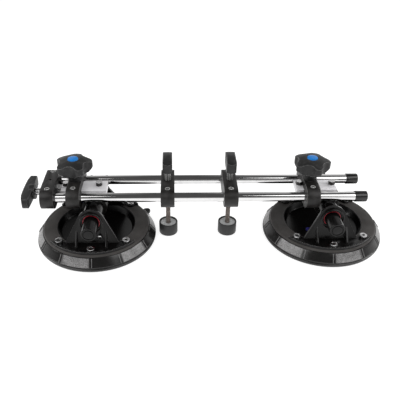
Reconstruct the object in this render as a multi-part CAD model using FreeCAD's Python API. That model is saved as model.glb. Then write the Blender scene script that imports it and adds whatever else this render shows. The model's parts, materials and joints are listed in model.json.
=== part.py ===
import FreeCAD, Part
import math
import os

# Seam setter for stone slabs: two pumped vacuum cups hang from carriages that slide on a pair of
# chromed rods, a screw spindle pulls the left carriage, and two leveling screws press the slabs flush.
# Millimetres, +Z up, floor at z = 0.  The rods run along X and the pump handles along Y.  The origin
# is on the floor, at the middle of the outline's box.

# ---------------------------------------------------------------- driving dimensions
fit_gap = 0.05             # radial gap of a running fit
seat_gap = 0.1             # gap between two fixed pieces that sit in each other
cut_past = 1.0             # how far a cutter runs past a face, or a fused piece into its neighbour

# Rods
rod_radius = 8.0
rod_spacing = 58.0         # between the two axes
rod_overhang = 80.2        # from the right carriage to the rods' ends
cap_radius = 9.2
cap_length = 21.0
cap_end_wall = 2.0

# Vacuum cups
cup_spacing = 402.0
cup_shift_y = {"left": -11.0, "right": -3.0}    # where each handle stands under the rods
lip_radius = 104.0
lip_height = 6.0
lip_edge = 4.0             # round of the lip's lower edge
lip_seat_width = 6.5       # flat ring that rests on the slab
skirt_foot_inset = 1.0     # from the lip
skirt_foot_height = 10.0
skirt_slope = 0.71         # run over rise of the sloping skirt
web_underside = 8.0        # height of the vacuum chamber
chamber_slope = 11.0       # run of the chamber's sloping wall
web_top = 12.0
rib_count = 12
rib_width = 1.5
rib_height = 0.9
rib_pair_gap = 4.6         # between the two ribs of a pair
rib_root = 2.0             # sunk in the skirt
rib_end_gap = 0.6          # below the skirt's top
tab_angle = {"left": 33.0, "right": 118.0}
tab_reach = 5.0            # past the lip
tab_width = 13.0
tab_thickness = 5.0
tab_height = 12.0
tab_root = 4.0             # sunk in the skirt
tab_lift = 2.0             # degrees

# Cup plate
plate_inset = 2.77         # of its rim from the skirt's top edge
plate_top = 27.0
plate_flange = 4.0
plate_edge = 1.2           # bevel of its rim
pad_wall = 7.77            # rubber round the plate's drum, at the skirt's top edge
plate_ring_width = 24.0    # flat ring round the bowl
bowl_slope = 5.0           # run of the bowl's sloping wall
bowl_floor = 15.0
filter_radius = 4.2
filter_height = 3.0
filter_chamfer = 0.6
filter_stem_radius = 3.2
filter_place = (-27.0, -16.0)

# A-shaped brackets
bracket_bolt_angle = 44.5
bracket_bolt_inset = 9.7   # from the flange's edge
flange_inset = 1.0         # from the plate's rim
flange_thickness = 3.0
flange_rim_width = 2.0
flange_rim_height = 1.5
ear_radius = 7.6
a_plate_y = 61.0           # foot of the A plate from the cup's axis
a_plate_half_width = 46.5
a_plate_thickness = 5.0
a_plate_lean = 12.0        # degrees, towards the cup's axis
arch_radius = {"front": 23.5, "rear": 20.0}      # the rear one is lower, to clear the rod
gusset_x = 24.7
gusset_length = 14.0       # in front of the A plate
gusset_thickness = 3.0
gusset_height = 23.0       # above the cup plate
gusset_toe = 2.0           # height of its front end
gusset_crest = 3.0         # width of its top
collar_front_y = 56.0
collar_radius = 19.6
collar_recess_radius = 17.6
collar_recess_depth = 5.0
bolt_shank_radius = 3.0
bolt_head_radius = 6.2
bolt_head_height = 4.0
head_side_gap = 0.4        # round the bolt heads
bolt_socket_flats = 5.0
bolt_socket_depth = 2.7
bolt_grip = 10.0           # how far the bolts reach below the flange
stop_screw_x = 13.5
stop_screw_height = 14.0   # above the cup plate
stop_screw_radius = 3.4
stop_screw_head = 2.6
stop_screw_stand = 3.5     # its face before the A plate's foot

# Handle tube, which is the pump's barrel, and the clamp that holds it under the saddle
handle_rise = 37.0         # handle axis above the cup plate
clamp_radius = 21.5
clamp_seat_rise = 23.0     # from the handle's axis to the saddle
clamp_seat_half_length = 18.0
barrel_radius = 16.0
barrel_bore = 14.5
barrel_end_wall = 5.0
barrel_rear_y = 60.0
wiper_thickness = 2.0
plunger_radius = 12.75
plunger_stroke = 24.0
plunger_proud = 6.0        # left in front of the collar when pushed home
plunger_chamfer = 1.0
plunger_inner_y = 18.0
plunger_groove_radius = 8.0
plunger_groove_width = 1.6
plunger_groove_depth = 1.5
piston_thickness = 8.0
seal_width = 3.0
seal_depth = 2.0
spring_wire_radius = 0.8
spring_coil_radius = 11.5
spring_turns = 7
spring_steps = 8           # straight steps in one turn

# Release lever behind the handle
tongue_half_width = 12.0
tongue_radius = 9.0
lever_pivot_y = 72.0
lever_arm_thickness = 3.2
lever_arm_width = 7.0
lever_boss_radius = 4.5
lever_tip = (5.0, 12.5)    # from the pivot: back and up
lever_thumb = (14.0, -5.0)
trunnion_radius = 2.5
trunnion_length = 4.0
lever_side_gap = 0.3

# Saddles
saddle_half_width = 16.0
saddle_thickness = 11.0
saddle_chamfer = 1.0
saddle_nose = {"left": 52.5, "right": 45.5}     # from the carriage bar's middle, towards +X
saddle_tail = {"left": 24.0, "right": 22.5}
nose_bolt_x = 39.5
tail_bolt_x = -16.8
saddle_bolt_radius = 3.0
saddle_bolt_flats = 10.0
saddle_bolt_head = 6.0
saddle_washer_radius = 5.4
saddle_washer_thickness = 1.2
nose_lug_drop = 8.0        # lug under the left saddle that takes the spindle's nose
nose_lug_half_width = 9.0
nose_lug_wall = 3.0

# Carriage bars
carriage_from_cup = {"left": -30.0, "right": -33.4}
carriage_thickness = 22.0
carriage_end_radius = 19.0
carriage_roof = 13.0       # over the saddle
notch_gap = 0.4

# Star knobs
star_lobes = 5
star_reach = 31.5
star_lobe_radius = 7.5
star_valley_radius = 15.2
star_turn = {"left": -134.0, "right": -149.0}   # heading of the first lobe, degrees
star_neck_radius = 12.0
star_neck_height = 16.0
star_body_height = 15.5
star_crown_rise = 8.0
star_under_bevel = 7.5     # rise of the lobes' undersides towards their tips
star_cap_radius = 9.7
star_cap_depth = 2.5
star_cap_edge = 0.8        # bevel of its rim
star_cap_rise = 1.1        # of its dome over the recess's mouth
star_screw_radius = 4.0
star_screw_tip = 2.5       # below the saddle
star_screw_head = 18.0     # length moulded into the knob

# End block, spindle and its handle
end_block_gap = 20.9       # to the left carriage bar
end_block_thickness = 22.0
end_block_end_radius = 18.0
end_block_wall = 3.0       # behind the rods' ends
spindle_drop = 5.5         # its axis below the rods' axes
spindle_radius = 6.0
spindle_show = 16.8        # between handle and end block
spindle_nose_radius = 4.0
spindle_nose_length = 15.5
nose_end_gap = 0.3
spindle_groove_radius = 2.8
spindle_groove_width = 7.0
spindle_in_handle = 9.0
oil_hole_radius = 2.6
oil_hole_depth = 8.0

# Grub screws over the rods
grub_radius = 3.6
grub_sink = 1.2            # below the bar's top
grub_stop = 0.3            # short of the rod
grub_socket_flats = 4.0
grub_socket_depth = 3.5

# Leveling units
leveler_rim_gap = {"left": 6.0, "right": 49.2}  # from the cup's lip to the leveling pad
leveler_thickness = 23.0
leveler_end_radius = 17.0
leveling_screw_radius = 4.0
leveling_foot_radius = 6.0
leveling_foot_height = 3.0
foot_side_gap = 0.3
ferrule_radius = 5.25
ferrule_length = 15.0
ferrule_in_knob = 5.0
knob_lift = 0.3            # ferrule above the bar when fully down
pad_lift = 1.0             # pad above the floor when fully down
pad_radius = 16.5
pad_height = 22.0
pad_chamfer = 1.0
pad_rim_width = 2.4
disc_sink = 2.0            # disc below the pad's rim
disc_thickness = 2.0
disc_hole_gap = 0.4

# T-shaped knobs: length, width, tip thickness, crown rise, hub radius and drop, belly under the
# wings, round of their ends and bevel of their crown
leveling_knob_size = dict(length=48.0, width=16.0, tip=15.5, rise=4.5, hub=8.0, drop=9.5,
                          belly=3.0, end=4.0, bevel=2.0)
spindle_handle_size = dict(length=85.0, width=17.6, tip=9.5, rise=5.5, hub=13.0, drop=4.8,
                           belly=2.0, end=3.5, bevel=2.0)

# ---------------------------------------------------------------- worked out from them
SIDES = ("left", "right")
cup_x = {"left": -cup_spacing / 2, "right": cup_spacing / 2}
carriage_x = {side: cup_x[side] + carriage_from_cup[side] for side in SIDES}
rod_y = rod_spacing / 2

handle_z = plate_top + handle_rise
saddle_bottom = handle_z + clamp_seat_rise
saddle_top = saddle_bottom + saddle_thickness
carriage_top = saddle_top + carriage_roof
rod_z = carriage_top - carriage_end_radius
spindle_z = rod_z - spindle_drop
leveler_top = rod_z + leveler_end_radius
end_block_top = rod_z + end_block_end_radius

end_block_right = carriage_x["left"] - carriage_thickness / 2 - end_block_gap
end_block_left = end_block_right - end_block_thickness
rod_left_end = end_block_left + end_block_wall
rod_right_end = carriage_x["right"] + carriage_thickness / 2 + rod_overhang
spindle_handle_foot = end_block_left - spindle_show
spindle_shoulder = carriage_x["left"] - saddle_tail["left"]

skirt_foot_radius = lip_radius - skirt_foot_inset
skirt_top = plate_top - plate_flange
skirt_top_radius = skirt_foot_radius - skirt_slope * (skirt_top - skirt_foot_height)
plate_radius = skirt_top_radius - plate_inset
plate_drum_radius = skirt_top_radius - pad_wall
bowl_radius = plate_radius - plate_ring_width
bowl_floor_radius = bowl_radius - bowl_slope
flange_radius = plate_radius - flange_inset
flange_inner_y = a_plate_y - a_plate_thickness
bracket_bolt_circle = flange_radius - bracket_bolt_inset
mouth_y = collar_front_y - collar_recess_depth
barrel_end_y = barrel_rear_y - barrel_end_wall
plunger_reach = collar_front_y + plunger_proud + plunger_stroke
piston_rear_y = -plunger_inner_y + piston_thickness
seal_y = -plunger_inner_y + (piston_thickness - seal_width) / 2

leveler_from_cup = {side: lip_radius + leveler_rim_gap[side] + pad_radius for side in SIDES}
leveler_x = {"left": cup_x["left"] + leveler_from_cup["left"],
             "right": cup_x["right"] - leveler_from_cup["right"]}
pad_top = pad_lift + pad_height
disc_top = pad_top - disc_sink
disc_bottom = disc_top - disc_thickness
ferrule_bottom = leveler_top + knob_lift
leveling_knob_foot = ferrule_bottom + ferrule_length

spindle_handle_depth = sum(spindle_handle_size[key] for key in ("tip", "rise", "drop"))
outline_left = spindle_handle_foot - spindle_handle_depth
outline_right = cup_x["right"] + lip_radius
outline_front = min(cup_shift_y.values()) - lip_radius
outline_back = max(cup_shift_y.values()) + lip_radius

V = FreeCAD.Vector
ORIGIN = V((outline_left + outline_right) / 2, (outline_front + outline_back) / 2, 0)
ALONG_X, ALONG_Y, ALONG_Z = V(1, 0, 0), V(0, 1, 0), V(0, 0, 1)


# ---------------------------------------------------------------- plain shapes
def block(low, high):
    """Box between two corners."""
    return Part.makeBox(high[0] - low[0], high[1] - low[1], high[2] - low[2], V(*low))


def pin_x(radius, x0, x1, y, z):
    return Part.makeCylinder(radius, x1 - x0, V(x0, y, z), ALONG_X)


def pin_y(radius, y0, y1, x, z):
    return Part.makeCylinder(radius, y1 - y0, V(x, y0, z), ALONG_Y)


def pin_z(radius, z0, z1, x=0.0, y=0.0):
    return Part.makeCylinder(radius, z1 - z0, V(x, y, z0), ALONG_Z)


def ring_y(outer, inner, y0, y1):
    """Ring about the handle's axis."""
    hole = pin_y(inner, y0 - cut_past, y1 + cut_past, 0, handle_z)
    return pin_y(outer, y0, y1, 0, handle_z).cut(hole)


def turned(outline):
    """Solid turned about Z from a closed outline of (radius, height) points."""
    points = [V(radius, 0, height) for radius, height in outline]
    return Part.Face(Part.makePolygon(points + points[:1])).revolve(V(0, 0, 0), ALONG_Z, 360)


def prism(points, along):
    """Solid drawn out of a closed outline of points."""
    return Part.Face(Part.makePolygon(points + points[:1])).extrude(along)


def hexagon_z(flats, z0, z1, x=0.0, y=0.0):
    corner = flats / math.sqrt(3)
    turns = [math.radians(60 * step + 30) for step in range(6)]
    points = [V(x + corner * math.cos(turn), y + corner * math.sin(turn), z0) for turn in turns]
    return prism(points, V(0, 0, z1 - z0))


def polar(radius, degrees, z=0.0):
    turn = math.radians(degrees)
    return V(radius * math.cos(turn), radius * math.sin(turn), z)


def fused(shapes):
    return shapes[0].multiFuse(list(shapes[1:])).removeSplitter()


def placed(shape, x=0.0, y=0.0, z=0.0):
    """Copy of a shape moved to its place."""
    copy = shape.copy()
    copy.translate(V(x, y, z))
    return copy


# ---------------------------------------------------------------- bars that run on the rods
def stadium_bar(thickness, end_radius):
    """Round-ended bar across both rods, its middle at x = 0, with the rods' bores through it."""
    half = thickness / 2
    body = fused([block((-half, -rod_y, rod_z - end_radius), (half, rod_y, rod_z + end_radius)),
                  pin_x(end_radius, -half, half, -rod_y, rod_z),
                  pin_x(end_radius, -half, half, rod_y, rod_z)])
    return body


def rod_bores(half, gap):
    """Cutters for the two rods' bores."""
    return [pin_x(rod_radius + gap, -half - cut_past, half + cut_past, y, rod_z) for y in (-rod_y, rod_y)]


def grub_holes(top):
    return [pin_z(grub_radius + fit_gap, rod_z, top + cut_past, 0, y) for y in (-rod_y, rod_y)]


def grub_screws(top):
    """Hexagon-socket grub screws over both rods, just short of the rods."""
    screws = []
    head = top - grub_sink
    for y in (-rod_y, rod_y):
        screw = pin_z(grub_radius, rod_z + rod_radius + grub_stop, head, 0, y)
        socket = hexagon_z(grub_socket_flats, head - grub_socket_depth, head + cut_past, 0, y)
        screws.append(screw.cut(socket))
    return Part.makeCompound(screws)


def end_block():
    """Fixed bar that holds the rods' left ends and carries the spindle's thread."""
    half = end_block_thickness / 2
    body = stadium_bar(end_block_thickness, end_block_end_radius)
    cutters = [pin_x(rod_radius + seat_gap, end_block_wall - half, half + cut_past, y, rod_z)
               for y in (-rod_y, rod_y)]
    cutters += grub_holes(end_block_top)
    cutters.append(pin_x(spindle_radius + fit_gap, -half - cut_past, half + cut_past, 0, spindle_z))
    cutters.append(pin_z(oil_hole_radius, end_block_top - oil_hole_depth, end_block_top + cut_past))
    return body.cut(cutters)


def carriage_bar():
    """Sliding bar, notched from below over the saddle and bored for the star knob's screw."""
    half = carriage_thickness / 2
    body = stadium_bar(carriage_thickness, carriage_end_radius)
    notch_side = saddle_half_width + notch_gap
    cutters = rod_bores(half, fit_gap) + grub_holes(carriage_top)
    cutters.append(block((-half - cut_past, -notch_side, rod_z - carriage_end_radius - cut_past),
                         (half + cut_past, notch_side, saddle_top)))
    cutters.append(pin_z(star_screw_radius + fit_gap, saddle_top - cut_past, carriage_top + cut_past))
    return body.cut(cutters)


def leveler_bar():
    """Sliding bar with the leveling screw's thread down its middle."""
    half = leveler_thickness / 2
    body = stadium_bar(leveler_thickness, leveler_end_radius)
    cutters = rod_bores(half, fit_gap) + grub_holes(leveler_top)
    cutters.append(pin_z(leveling_screw_radius + fit_gap, rod_z - leveler_end_radius - cut_past,
                         leveler_top + cut_past))
    return body.cut(cutters)


def rod_end_cap():
    """Push-on cap over a rod's right end, its mouth at x = 0."""
    chamfer = cap_end_wall / 2
    shell = turned([(rod_radius + seat_gap, 0), (cap_radius, 0), (cap_radius, cap_length - chamfer),
                    (cap_radius - chamfer, cap_length), (0, cap_length),
                    (0, cap_length - cap_end_wall), (rod_radius + seat_gap, cap_length - cap_end_wall)])
    shell.rotate(V(0, 0, 0), ALONG_Y, 90)
    return shell


# ---------------------------------------------------------------- knobs
def star_outline():
    """Round lobes joined by hollow arcs, as a closed wire at z = 0."""
    step = 360 / star_lobes
    half = math.radians(step / 2)
    lobe_at = star_reach - star_lobe_radius
    touch = star_lobe_radius + star_valley_radius
    valley_at = lobe_at * math.cos(half) + math.sqrt(touch ** 2 - (lobe_at * math.sin(half)) ** 2)
    edges = []
    for count in range(star_lobes):
        heading = step * count
        lobe, following = polar(lobe_at, heading), polar(lobe_at, heading + step)
        before, after = polar(valley_at, heading - step / 2), polar(valley_at, heading + step / 2)
        start = lobe + (before - lobe) * (star_lobe_radius / touch)
        end = lobe + (after - lobe) * (star_lobe_radius / touch)
        far = following + (after - following) * (star_lobe_radius / touch)
        bottom = polar(valley_at - star_valley_radius, heading + step / 2)
        edges.append(Part.Arc(start, polar(star_reach, heading), end).toShape())
        edges.append(Part.Arc(end, bottom, far).toShape())
    return Part.Wire(edges)


def star_knob():
    """Domed star knob on a round neck; the neck's foot is at z = 0 and the lobes stand over it."""
    neck = star_neck_height
    rim = neck + star_body_height
    crown = rim + star_crown_rise
    outer = star_reach + cut_past
    dome_radius = (outer ** 2 + star_crown_rise ** 2) / (2 * star_crown_rise)
    half = math.asin(outer / dome_radius) / 2
    middle = V(dome_radius * math.sin(half), 0, crown - dome_radius * (1 - math.cos(half)))
    dome = Part.Arc(V(outer, 0, rim), middle, V(0, 0, crown)).toShape()
    sides = Part.makePolygon([V(0, 0, crown), V(0, 0, 0), V(star_neck_radius, 0, 0),
                              V(star_neck_radius, 0, neck), V(outer - star_under_bevel, 0, neck),
                              V(outer, 0, neck + star_under_bevel), V(outer, 0, rim)])
    form = Part.Face(Part.Wire([dome] + sides.Edges)).revolve(V(0, 0, 0), ALONG_Z, 360)
    lobes = Part.Face(star_outline()).extrude(V(0, 0, crown + cut_past))
    neck_post = pin_z(star_neck_radius, 0, neck + star_under_bevel)
    body = fused([form.common(lobes), neck_post])
    recess = pin_z(star_cap_radius + seat_gap, crown - star_cap_depth, crown + cut_past)
    socket = pin_z(star_screw_radius + seat_gap, -cut_past, star_screw_head)
    return body.cut([recess, socket])


def star_cap():
    """Domed cover disc of the star knob, its underside at z = 0."""
    brow = star_cap_depth + star_cap_rise / 4
    return turned([(0, 0), (star_cap_radius, 0), (star_cap_radius, brow - star_cap_edge),
                   (star_cap_radius - star_cap_edge, brow),
                   (star_cap_radius / 2, star_cap_depth + star_cap_rise * 3 / 4),
                   (0, star_cap_depth + star_cap_rise)])


def tee_knob(length, width, tip, rise, hub, drop, belly, end, bevel):
    """T-shaped knob: hub's foot at the origin, round-ended wings along Y, crown up."""
    half, side = length / 2, width / 2
    low, high = drop, drop + tip
    crown = high + rise
    over = Part.Arc(V(-side, -half, high), V(-side, 0, crown), V(-side, half, high)).toShape()
    under = Part.Arc(V(-side, half, low), V(-side, 0, low - belly), V(-side, -half, low)).toShape()
    tips = [Part.makeLine(V(-side, half, high), V(-side, half, low)),
            Part.makeLine(V(-side, -half, low), V(-side, -half, high))]
    wings = Part.Face(Part.Wire([over, tips[0], under, tips[1]])).extrude(V(width, 0, 0))

    ends = [Part.Arc(V(side, half - end, 0), V(0, half, 0), V(-side, half - end, 0)).toShape(),
            Part.Arc(V(-side, end - half, 0), V(0, -half, 0), V(side, end - half, 0)).toShape()]
    edges = [Part.makeLine(V(-side, half - end, 0), V(-side, end - half, 0)),
             Part.makeLine(V(side, end - half, 0), V(side, half - end, 0))]
    plan = Part.Face(Part.Wire([ends[0], edges[0], ends[1], edges[1]])).extrude(V(0, 0, crown + cut_past))

    section = prism([V(-side, -half, 0), V(-side, -half, crown - bevel), V(bevel - side, -half, crown),
                     V(side - bevel, -half, crown), V(side, -half, crown - bevel), V(side, -half, 0)],
                    V(0, length, 0))
    return fused([wings.common(plan).common(section), pin_z(hub, 0, low + tip / 2)])


# ---------------------------------------------------------------- vacuum cup, about its own axis
def vacuum_pad(tab_heading):
    """Rubber pad: sealing lip, sloping ribbed skirt, thin web and a lifting tab."""
    drum = plate_drum_radius + seat_gap
    seat_outer = lip_radius - lip_edge
    seat_inner = seat_outer - lip_seat_width
    round_off = lip_edge * (1 - math.sqrt(0.5))
    body = turned([(0, web_underside), (seat_inner - chamber_slope, web_underside), (seat_inner, 0),
                   (seat_outer, 0), (lip_radius - round_off, round_off), (lip_radius, lip_edge),
                   (lip_radius, lip_height), (skirt_foot_radius, skirt_foot_height),
                   (skirt_top_radius, skirt_top), (drum, skirt_top), (drum, web_top), (0, web_top)])
    rise = skirt_top - skirt_foot_height
    slope = math.hypot(1, skirt_slope)
    out, up = rib_height / slope, rib_height * skirt_slope / slope
    rib_top = skirt_top - rib_end_gap
    rib = [(skirt_foot_radius - rib_root, skirt_foot_height),
           (skirt_foot_radius + out, skirt_foot_height + up),
           (skirt_top_radius + out, rib_top), (skirt_top_radius - rib_root, rib_top)]
    pieces = [body]
    for pair in range(rib_count):
        for side in (-1, 1):
            y = side * rib_pair_gap / 2 - rib_width / 2
            bar = prism([V(radius, y, height) for radius, height in rib], V(0, rib_width, 0))
            bar.rotate(V(0, 0, 0), ALONG_Z, 360 / rib_count * pair)
            pieces.append(bar)
    reach = lip_radius + tab_reach
    root = skirt_foot_radius - rise * skirt_slope / 2
    end = reach - tab_width / 2
    tab = fused([block((root - tab_root, -tab_width / 2, tab_height),
                       (end, tab_width / 2, tab_height + tab_thickness)),
                 pin_z(tab_width / 2, tab_height, tab_height + tab_thickness, end)])
    tab.rotate(V(root, 0, tab_height), ALONG_Y, -tab_lift)
    tab.rotate(V(0, 0, 0), ALONG_Z, tab_heading)
    pieces.append(tab)
    return fused(pieces)


def bracket_bolt_places():
    return [polar(bracket_bolt_circle, facing + swing)
            for facing in (-90, 90) for swing in (-bracket_bolt_angle, 0, bracket_bolt_angle)]


def cup_plate():
    """Moulded plate: flat ring, sunk bowl under the handle, and a drum that fills the pad."""
    edge = plate_edge
    body = turned([(0, web_top), (plate_drum_radius, web_top), (plate_drum_radius, skirt_top),
                   (skirt_top_radius - edge, skirt_top), (plate_radius + edge, skirt_top + edge),
                   (plate_radius, plate_top - edge / 2), (plate_radius - edge / 2, plate_top),
                   (bowl_radius, plate_top), (bowl_floor_radius, bowl_floor), (0, bowl_floor)])
    holes = [pin_z(bolt_shank_radius + seat_gap, plate_top - bolt_grip - cut_past, plate_top + cut_past,
                   place.x, place.y) for place in bracket_bolt_places()]
    holes.append(pin_z(filter_stem_radius + seat_gap, web_top - cut_past, bowl_floor + cut_past,
                       *filter_place))
    return body.cut(holes)


def intake_filter():
    """Button over the suction hole in the bowl's floor, with a stem down the hole."""
    x, y = filter_place
    head = turned([(0, 0), (filter_radius, 0), (filter_radius, filter_height - filter_chamfer),
                   (filter_radius - filter_chamfer, filter_height), (0, filter_height)])
    return fused([placed(head, x, y, bowl_floor),
                  pin_z(filter_stem_radius, web_top + seat_gap, bowl_floor + cut_past, x, y)])


def bracket(arch_top):
    """A-shaped bracket: bolted flange, leaning arched plate, gussets and the barrel's collar."""
    flange_top = plate_top + flange_thickness
    disc = pin_z(flange_radius, plate_top, flange_top)
    rim_top = flange_top + flange_rim_height
    keep = block((-flange_radius, -flange_radius - cut_past, plate_top),
                 (flange_radius, -flange_inner_y, rim_top + cut_past))
    rim = pin_z(flange_radius, plate_top, rim_top)
    rim = rim.cut(pin_z(flange_radius - flange_rim_width, plate_top, rim_top + cut_past)).common(keep)
    ears = [pin_z(ear_radius, plate_top, flange_top, place.x, place.y)
            for place in bracket_bolt_places()[:3]]

    lean = math.radians(a_plate_lean)
    centre = handle_rise / math.cos(lean)
    away = math.hypot(a_plate_half_width, centre)
    touch = math.acos(arch_top / away) - math.atan2(centre, a_plate_half_width)
    tangent = V(arch_top * math.cos(touch), 0, centre + arch_top * math.sin(touch))
    arch = Part.Arc(tangent, V(0, 0, centre + arch_top), V(-tangent.x, 0, tangent.z)).toShape()
    sides = Part.makePolygon([V(-tangent.x, 0, tangent.z), V(-a_plate_half_width, 0, 0),
                              V(a_plate_half_width, 0, 0), tangent])
    a_plate = Part.Face(Part.Wire([arch] + sides.Edges)).extrude(V(0, a_plate_thickness, 0))
    a_plate.rotate(V(0, 0, 0), ALONG_X, -a_plate_lean)
    a_plate.translate(V(0, -a_plate_y, plate_top))

    gusset_foot = a_plate_y + gusset_length
    gusset_top = plate_top + gusset_height
    inside_y = -a_plate_y + gusset_height * math.tan(lean) + a_plate_thickness / 2
    outline = [(-gusset_foot, flange_top - cut_past), (-gusset_foot, flange_top + gusset_toe),
               (inside_y - gusset_crest, gusset_top), (inside_y, gusset_top),
               (-a_plate_y + a_plate_thickness / 2, flange_top - cut_past)]
    gussets = [prism([V(x - gusset_thickness / 2, y, z) for y, z in outline], V(gusset_thickness, 0, 0))
               for x in (-gusset_x, gusset_x)]
    back_of_plate = -a_plate_y + handle_rise * math.tan(lean) + a_plate_thickness / 2
    collar = pin_y(collar_radius, -collar_front_y, back_of_plate, 0, handle_z)
    body = fused([disc.common(keep), rim, a_plate, collar] + ears + gussets)
    below = a_plate_thickness * math.sin(lean) + cut_past
    cutters = [block((-flange_radius, -flange_radius, plate_top - below), (flange_radius, 0, plate_top)),
               pin_y(barrel_radius + seat_gap, -collar_front_y - cut_past, 0, 0, handle_z),
               pin_y(collar_recess_radius, -collar_front_y - cut_past, -mouth_y, 0, handle_z)]
    for place in bracket_bolt_places()[:3]:
        cutters.append(pin_z(bolt_shank_radius + seat_gap, plate_top - cut_past, flange_top + cut_past,
                             place.x, place.y))
        cutters.append(pin_z(bolt_head_radius + head_side_gap, flange_top, flange_top + bolt_head_height,
                             place.x, place.y))
    stop_z = plate_top + stop_screw_height
    cutters.append(pin_y(stop_screw_radius / 2 + seat_gap, -a_plate_y - cut_past, 0, stop_screw_x, stop_z))
    return body.cut(cutters)


def turned_round(shape):
    """Copy of a front piece turned half round the cup's axis, to the rear."""
    copy = shape.copy()
    copy.rotate(V(0, 0, 0), ALONG_Z, 180)
    return copy


def bracket_bolts():
    """Six socket-head bolts, and a small stop screw through each A plate."""
    flange_top = plate_top + flange_thickness
    bolt = fused([pin_z(bolt_head_radius, 0, bolt_head_height),
                  pin_z(bolt_shank_radius, -flange_thickness - bolt_grip, cut_past)])
    bolt = bolt.cut(hexagon_z(bolt_socket_flats, bolt_head_height - bolt_socket_depth,
                              bolt_head_height + cut_past))
    bolts = [placed(bolt, place.x, place.y, flange_top) for place in bracket_bolt_places()]
    stop_z = plate_top + stop_screw_height
    plate_y = -a_plate_y + stop_screw_height * math.tan(math.radians(a_plate_lean))
    face_y = plate_y - stop_screw_stand
    stop = fused([pin_y(stop_screw_radius, face_y, face_y + stop_screw_head, stop_screw_x, stop_z),
                  pin_y(stop_screw_radius / 2, face_y + cut_past, plate_y + a_plate_thickness,
                        stop_screw_x, stop_z)])
    return Part.makeCompound(bolts + [stop, turned_round(stop)])


def handle_clamp(bolt_x, seat_y):
    """Ring round the handle tube, under the saddle, with a flat seat on top for it."""
    front, back = seat_y - saddle_half_width, seat_y + saddle_half_width
    ring = pin_y(clamp_radius, front, back, 0, handle_z)
    seat = block((-clamp_seat_half_length, front, handle_z), (clamp_seat_half_length, back, saddle_bottom))
    bore = pin_y(barrel_radius + seat_gap, front - cut_past, back + cut_past, 0, handle_z)
    bolt_hole = pin_z(saddle_bolt_radius + seat_gap, handle_z, saddle_bottom + cut_past, bolt_x, seat_y)
    return fused([ring, seat]).cut([bore, bolt_hole])


def pump_barrel():
    """Handle tube and pump barrel in one, closed at the back by the release lever's tongue."""
    tube = pin_y(barrel_radius, -mouth_y, barrel_rear_y, 0, handle_z)
    tongue = fused([block((-tongue_half_width, barrel_end_y, handle_z - tongue_radius),
                          (tongue_half_width, lever_pivot_y, handle_z + tongue_radius)),
                    pin_x(tongue_radius, -tongue_half_width, tongue_half_width, lever_pivot_y, handle_z)])
    body = fused([tube, tongue])
    return body.cut([pin_y(barrel_bore, -mouth_y - cut_past, barrel_end_y, 0, handle_z),
                     pin_x(trunnion_radius + fit_gap, -tongue_half_width - cut_past,
                           trunnion_length + fit_gap - tongue_half_width, lever_pivot_y, handle_z),
                     pin_x(trunnion_radius + fit_gap, tongue_half_width - trunnion_length - fit_gap,
                           tongue_half_width + cut_past, lever_pivot_y, handle_z)])


def wiper_ring():
    """Red ring in the barrel's mouth that wipes the plunger and keeps it in."""
    return ring_y(barrel_bore - fit_gap, plunger_radius + fit_gap, -mouth_y, wiper_thickness - mouth_y)


def plunger():
    """Thumb plunger with its piston; a groove circles the thumb face."""
    chamfer = plunger_chamfer
    stem = pin_y(plunger_radius, chamfer - plunger_reach, -plunger_inner_y, 0, handle_z)
    thumb = Part.makeCone(plunger_radius - chamfer, plunger_radius, chamfer, V(0, -plunger_reach, handle_z),
                          ALONG_Y)
    piston = pin_y(barrel_bore - fit_gap, -plunger_inner_y, piston_rear_y, 0, handle_z)
    groove = ring_y(plunger_groove_radius + plunger_groove_width, plunger_groove_radius,
                    -plunger_reach - cut_past, plunger_groove_depth - plunger_reach)
    seal_groove = ring_y(barrel_bore + cut_past, barrel_bore - seal_depth, seal_y, seal_y + seal_width)
    return fused([stem, thumb, piston]).cut([groove, seal_groove])


def piston_seal():
    """Rubber ring in the piston's groove."""
    return ring_y(barrel_bore - fit_gap / 2, barrel_bore - seal_depth, seal_y + seat_gap,
                  seal_y + seal_width - seat_gap)


def return_spring():
    """Coil spring between the piston and the barrel's closed end, as a ruled coil of square wire."""
    start = piston_rear_y + spring_wire_radius + seat_gap
    length = barrel_end_y - spring_wire_radius - seat_gap - start
    steps = spring_turns * spring_steps
    sections = []
    for step in range(steps + 1):
        heading = math.radians(360 * step / spring_steps)
        middle = length * step / steps
        corners = [(spring_coil_radius + out * spring_wire_radius, middle + along * spring_wire_radius)
                   for out, along in ((1, 0), (0, 1), (-1, 0), (0, -1))]
        points = [V(radius * math.cos(heading), start + y, handle_z + radius * math.sin(heading))
                  for radius, y in corners]
        sections.append(Part.makePolygon(points + points[:1]))
    return Part.makeLoft(sections, True, True)


def release_lever():
    """Forked thumb lever on two trunnions; its upturned tips stand beside the tongue."""
    inner = tongue_half_width + lever_side_gap
    outer = inner + lever_arm_thickness
    half = lever_arm_width / 2
    arms = []
    for x in (-outer, inner):
        for back, up in (lever_tip, lever_thumb):
            length = math.hypot(back, up)
            across = V(0, -up / length * half, back / length * half)
            root, end = V(x, lever_pivot_y, handle_z), V(x, lever_pivot_y + back, handle_z + up)
            arms.append(prism([root + across, end + across, end - across, root - across],
                              V(lever_arm_thickness, 0, 0)))
            arms.append(pin_x(half, x, x + lever_arm_thickness, end.y, end.z))
        arms.append(pin_x(lever_boss_radius, x, x + lever_arm_thickness, lever_pivot_y, handle_z))
    thumb_y, thumb_z = lever_pivot_y + lever_thumb[0], handle_z + lever_thumb[1]
    pad = pin_x(half, -outer, outer, thumb_y, thumb_z)
    trunnions = [pin_x(trunnion_radius, -outer, trunnion_length - tongue_half_width, lever_pivot_y, handle_z),
                 pin_x(trunnion_radius, tongue_half_width - trunnion_length, outer, lever_pivot_y, handle_z)]
    return fused(arms + [pad] + trunnions)


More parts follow.
